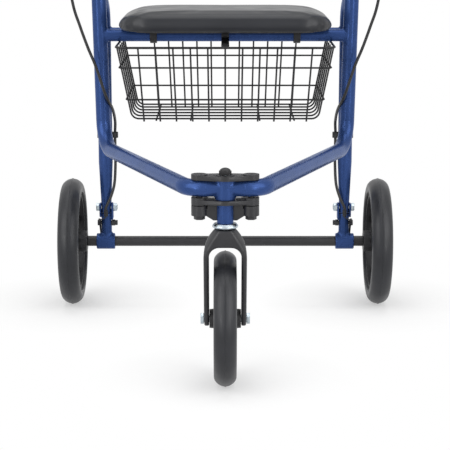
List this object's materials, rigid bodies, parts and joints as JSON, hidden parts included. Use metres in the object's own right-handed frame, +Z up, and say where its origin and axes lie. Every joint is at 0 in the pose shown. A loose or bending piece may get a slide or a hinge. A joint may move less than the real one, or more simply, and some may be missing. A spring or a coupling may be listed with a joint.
{
  "type": "three wheel rollator",
  "caption": "Walking aid on wheels with a blue tube frame, swivelling front fork, padded seat, wire basket, height-adjustable handles and hand brakes.",
  "frame": {"origin": "on the floor, under the middle of the part's outline", "axes": "+Z up, the front wheel leads towards -Y, +X to the right as seen from the front"},
  "size_m": [0.516, 0.62, 0.898],
  "materials": {
    "frame_blue": "gloss blue enamel",
    "black_metal": "satin black powder coat",
    "zinc": "bright zinc plate",
    "basket_wire": "black plastic-coated wire",
    "black_plastic": "fine-grained black nylon",
    "tyre": "dark grey solid tyre",
    "grip_rubber": "matt black rubber",
    "cable": "black cable sheath",
    "seat_vinyl": "black grained vinyl",
    "handle_tube": "satin anodised"
  },
  "bodies": {
    "frame": {"left_frame_tube": "frame_blue", "right_frame_tube": "frame_blue", "left_rear_leg": "frame_blue", "right_rear_leg": "frame_blue", "seat_bar": "frame_blue", "seat_rest_bar": "frame_blue", "head_sleeve": "frame_blue", "head_tube": "frame_blue", "top_plate": "black_metal", "middle_plate": "black_metal", "lower_bracket": "black_metal", "clamp_bolts": "black_metal", "clamp_nuts": "black_metal", "bearing_cup": "zinc", "left_axle_bracket": "frame_blue", "right_axle_bracket": "frame_blue", "leg_bolts": "zinc", "leg_nuts": "zinc", "rear_axle": "black_metal", "wheel_caps": "black_plastic", "brake_bolts": "black_metal", "cable_stops": "black_plastic", "cable_clips": "black_plastic", "left_brake_cable": "cable", "right_brake_cable": "cable", "seat_board": "black_plastic", "seat_cushion": "seat_vinyl", "seat_clips": "black_plastic", "seat_pads": "grip_rubber", "basket_rim": "basket_wire", "basket_front_panel": "basket_wire", "basket_back_panel": "basket_wire", "basket_floor": "basket_wire", "basket_sides": "basket_wire", "basket_hooks": "black_plastic"},
    "fork": {"fork": "black_metal", "fork_stem": "zinc", "dome_nut": "black_plastic", "front_axle": "zinc", "front_axle_nut": "zinc"},
    "front_wheel": {"front_tyre": "tyre", "front_rim": "black_plastic"},
    "left_wheel": {"left_tyre": "tyre", "left_rim": "black_plastic", "left_brake_drum": "black_metal"},
    "right_wheel": {"right_tyre": "tyre", "right_rim": "black_plastic", "right_brake_drum": "black_metal"},
    "left_handle": {"left_handle_tube": "handle_tube", "left_grip": "grip_rubber", "left_lever_bracket": "black_plastic"},
    "right_handle": {"right_handle_tube": "handle_tube", "right_grip": "grip_rubber", "right_lever_bracket": "black_plastic"},
    "left_lever": {"left_brake_lever": "black_plastic"},
    "right_lever": {"right_brake_lever": "black_plastic"},
    "left_brake": {"left_brake_arm": "black_metal"},
    "right_brake": {"right_brake_arm": "black_metal"},
    "left_knob": {"left_height_knob": "black_plastic"},
    "right_knob": {"right_height_knob": "black_plastic"}
  },
  "joints": [
    {"name": "fork_swivel", "type": "hinge", "parent": "frame", "child": "fork", "pos_m": [0, -0.255, 0.236], "axis": [0, 0, 1], "continuous": true},
    {"name": "front_wheel_spin", "type": "hinge", "parent": "fork", "child": "front_wheel", "pos_m": [0, -0.22, 0.09], "axis": [1, 0, 0], "continuous": true},
    {"name": "left_wheel_spin", "type": "hinge", "parent": "frame", "child": "left_wheel", "pos_m": [-0.242, 0.21, 0.1], "axis": [1, 0, 0], "continuous": true},
    {"name": "right_wheel_spin", "type": "hinge", "parent": "frame", "child": "right_wheel", "pos_m": [0.242, 0.21, 0.1], "axis": [1, 0, 0], "continuous": true},
    {"name": "left_handle_height", "type": "slide", "parent": "frame", "child": "left_handle", "axis": [-0.0209, 0, 0.9998], "range_m": [-0.05, 0.06], "deforming": ["left_brake_cable"]},
    {"name": "left_lever_squeeze", "type": "hinge", "parent": "left_handle", "child": "left_lever", "pos_m": [-0.19799, 0.199, 0.857], "axis": [1, 0, 0], "range_deg": [0, 10], "stiffness_Nm_per_rad": 2},
    {"name": "left_brake_close", "type": "hinge", "parent": "frame", "child": "left_brake", "pos_m": [-0.2, 0.21, 0.13], "axis": [1, 0, 0], "range_deg": [-2.1, 0]},
    {"name": "left_knob_turn", "type": "hinge", "parent": "frame", "child": "left_knob", "pos_m": [-0.19371, 0.15, 0.676], "axis": [1, 0, 0], "continuous": true},
    {"name": "right_handle_height", "type": "slide", "parent": "frame", "child": "right_handle", "axis": [0.0209, 0, 0.9998], "range_m": [-0.05, 0.06], "deforming": ["right_brake_cable"]},
    {"name": "right_lever_squeeze", "type": "hinge", "parent": "right_handle", "child": "right_lever", "pos_m": [0.19799, 0.199, 0.857], "axis": [1, 0, 0], "range_deg": [0, 10], "stiffness_Nm_per_rad": 2},
    {"name": "right_brake_close", "type": "hinge", "parent": "frame", "child": "right_brake", "pos_m": [0.2, 0.21, 0.13], "axis": [1, 0, 0], "range_deg": [-2.1, 0]},
    {"name": "right_knob_turn", "type": "hinge", "parent": "frame", "child": "right_knob", "pos_m": [0.19371, 0.15, 0.676], "axis": [1, 0, 0], "continuous": true}
  ],
  "couplings": [
    {"joint": "left_brake_close", "follows": "left_lever_squeeze", "ratio": -0.21},
    {"joint": "right_brake_close", "follows": "right_lever_squeeze", "ratio": -0.21}
  ]
}
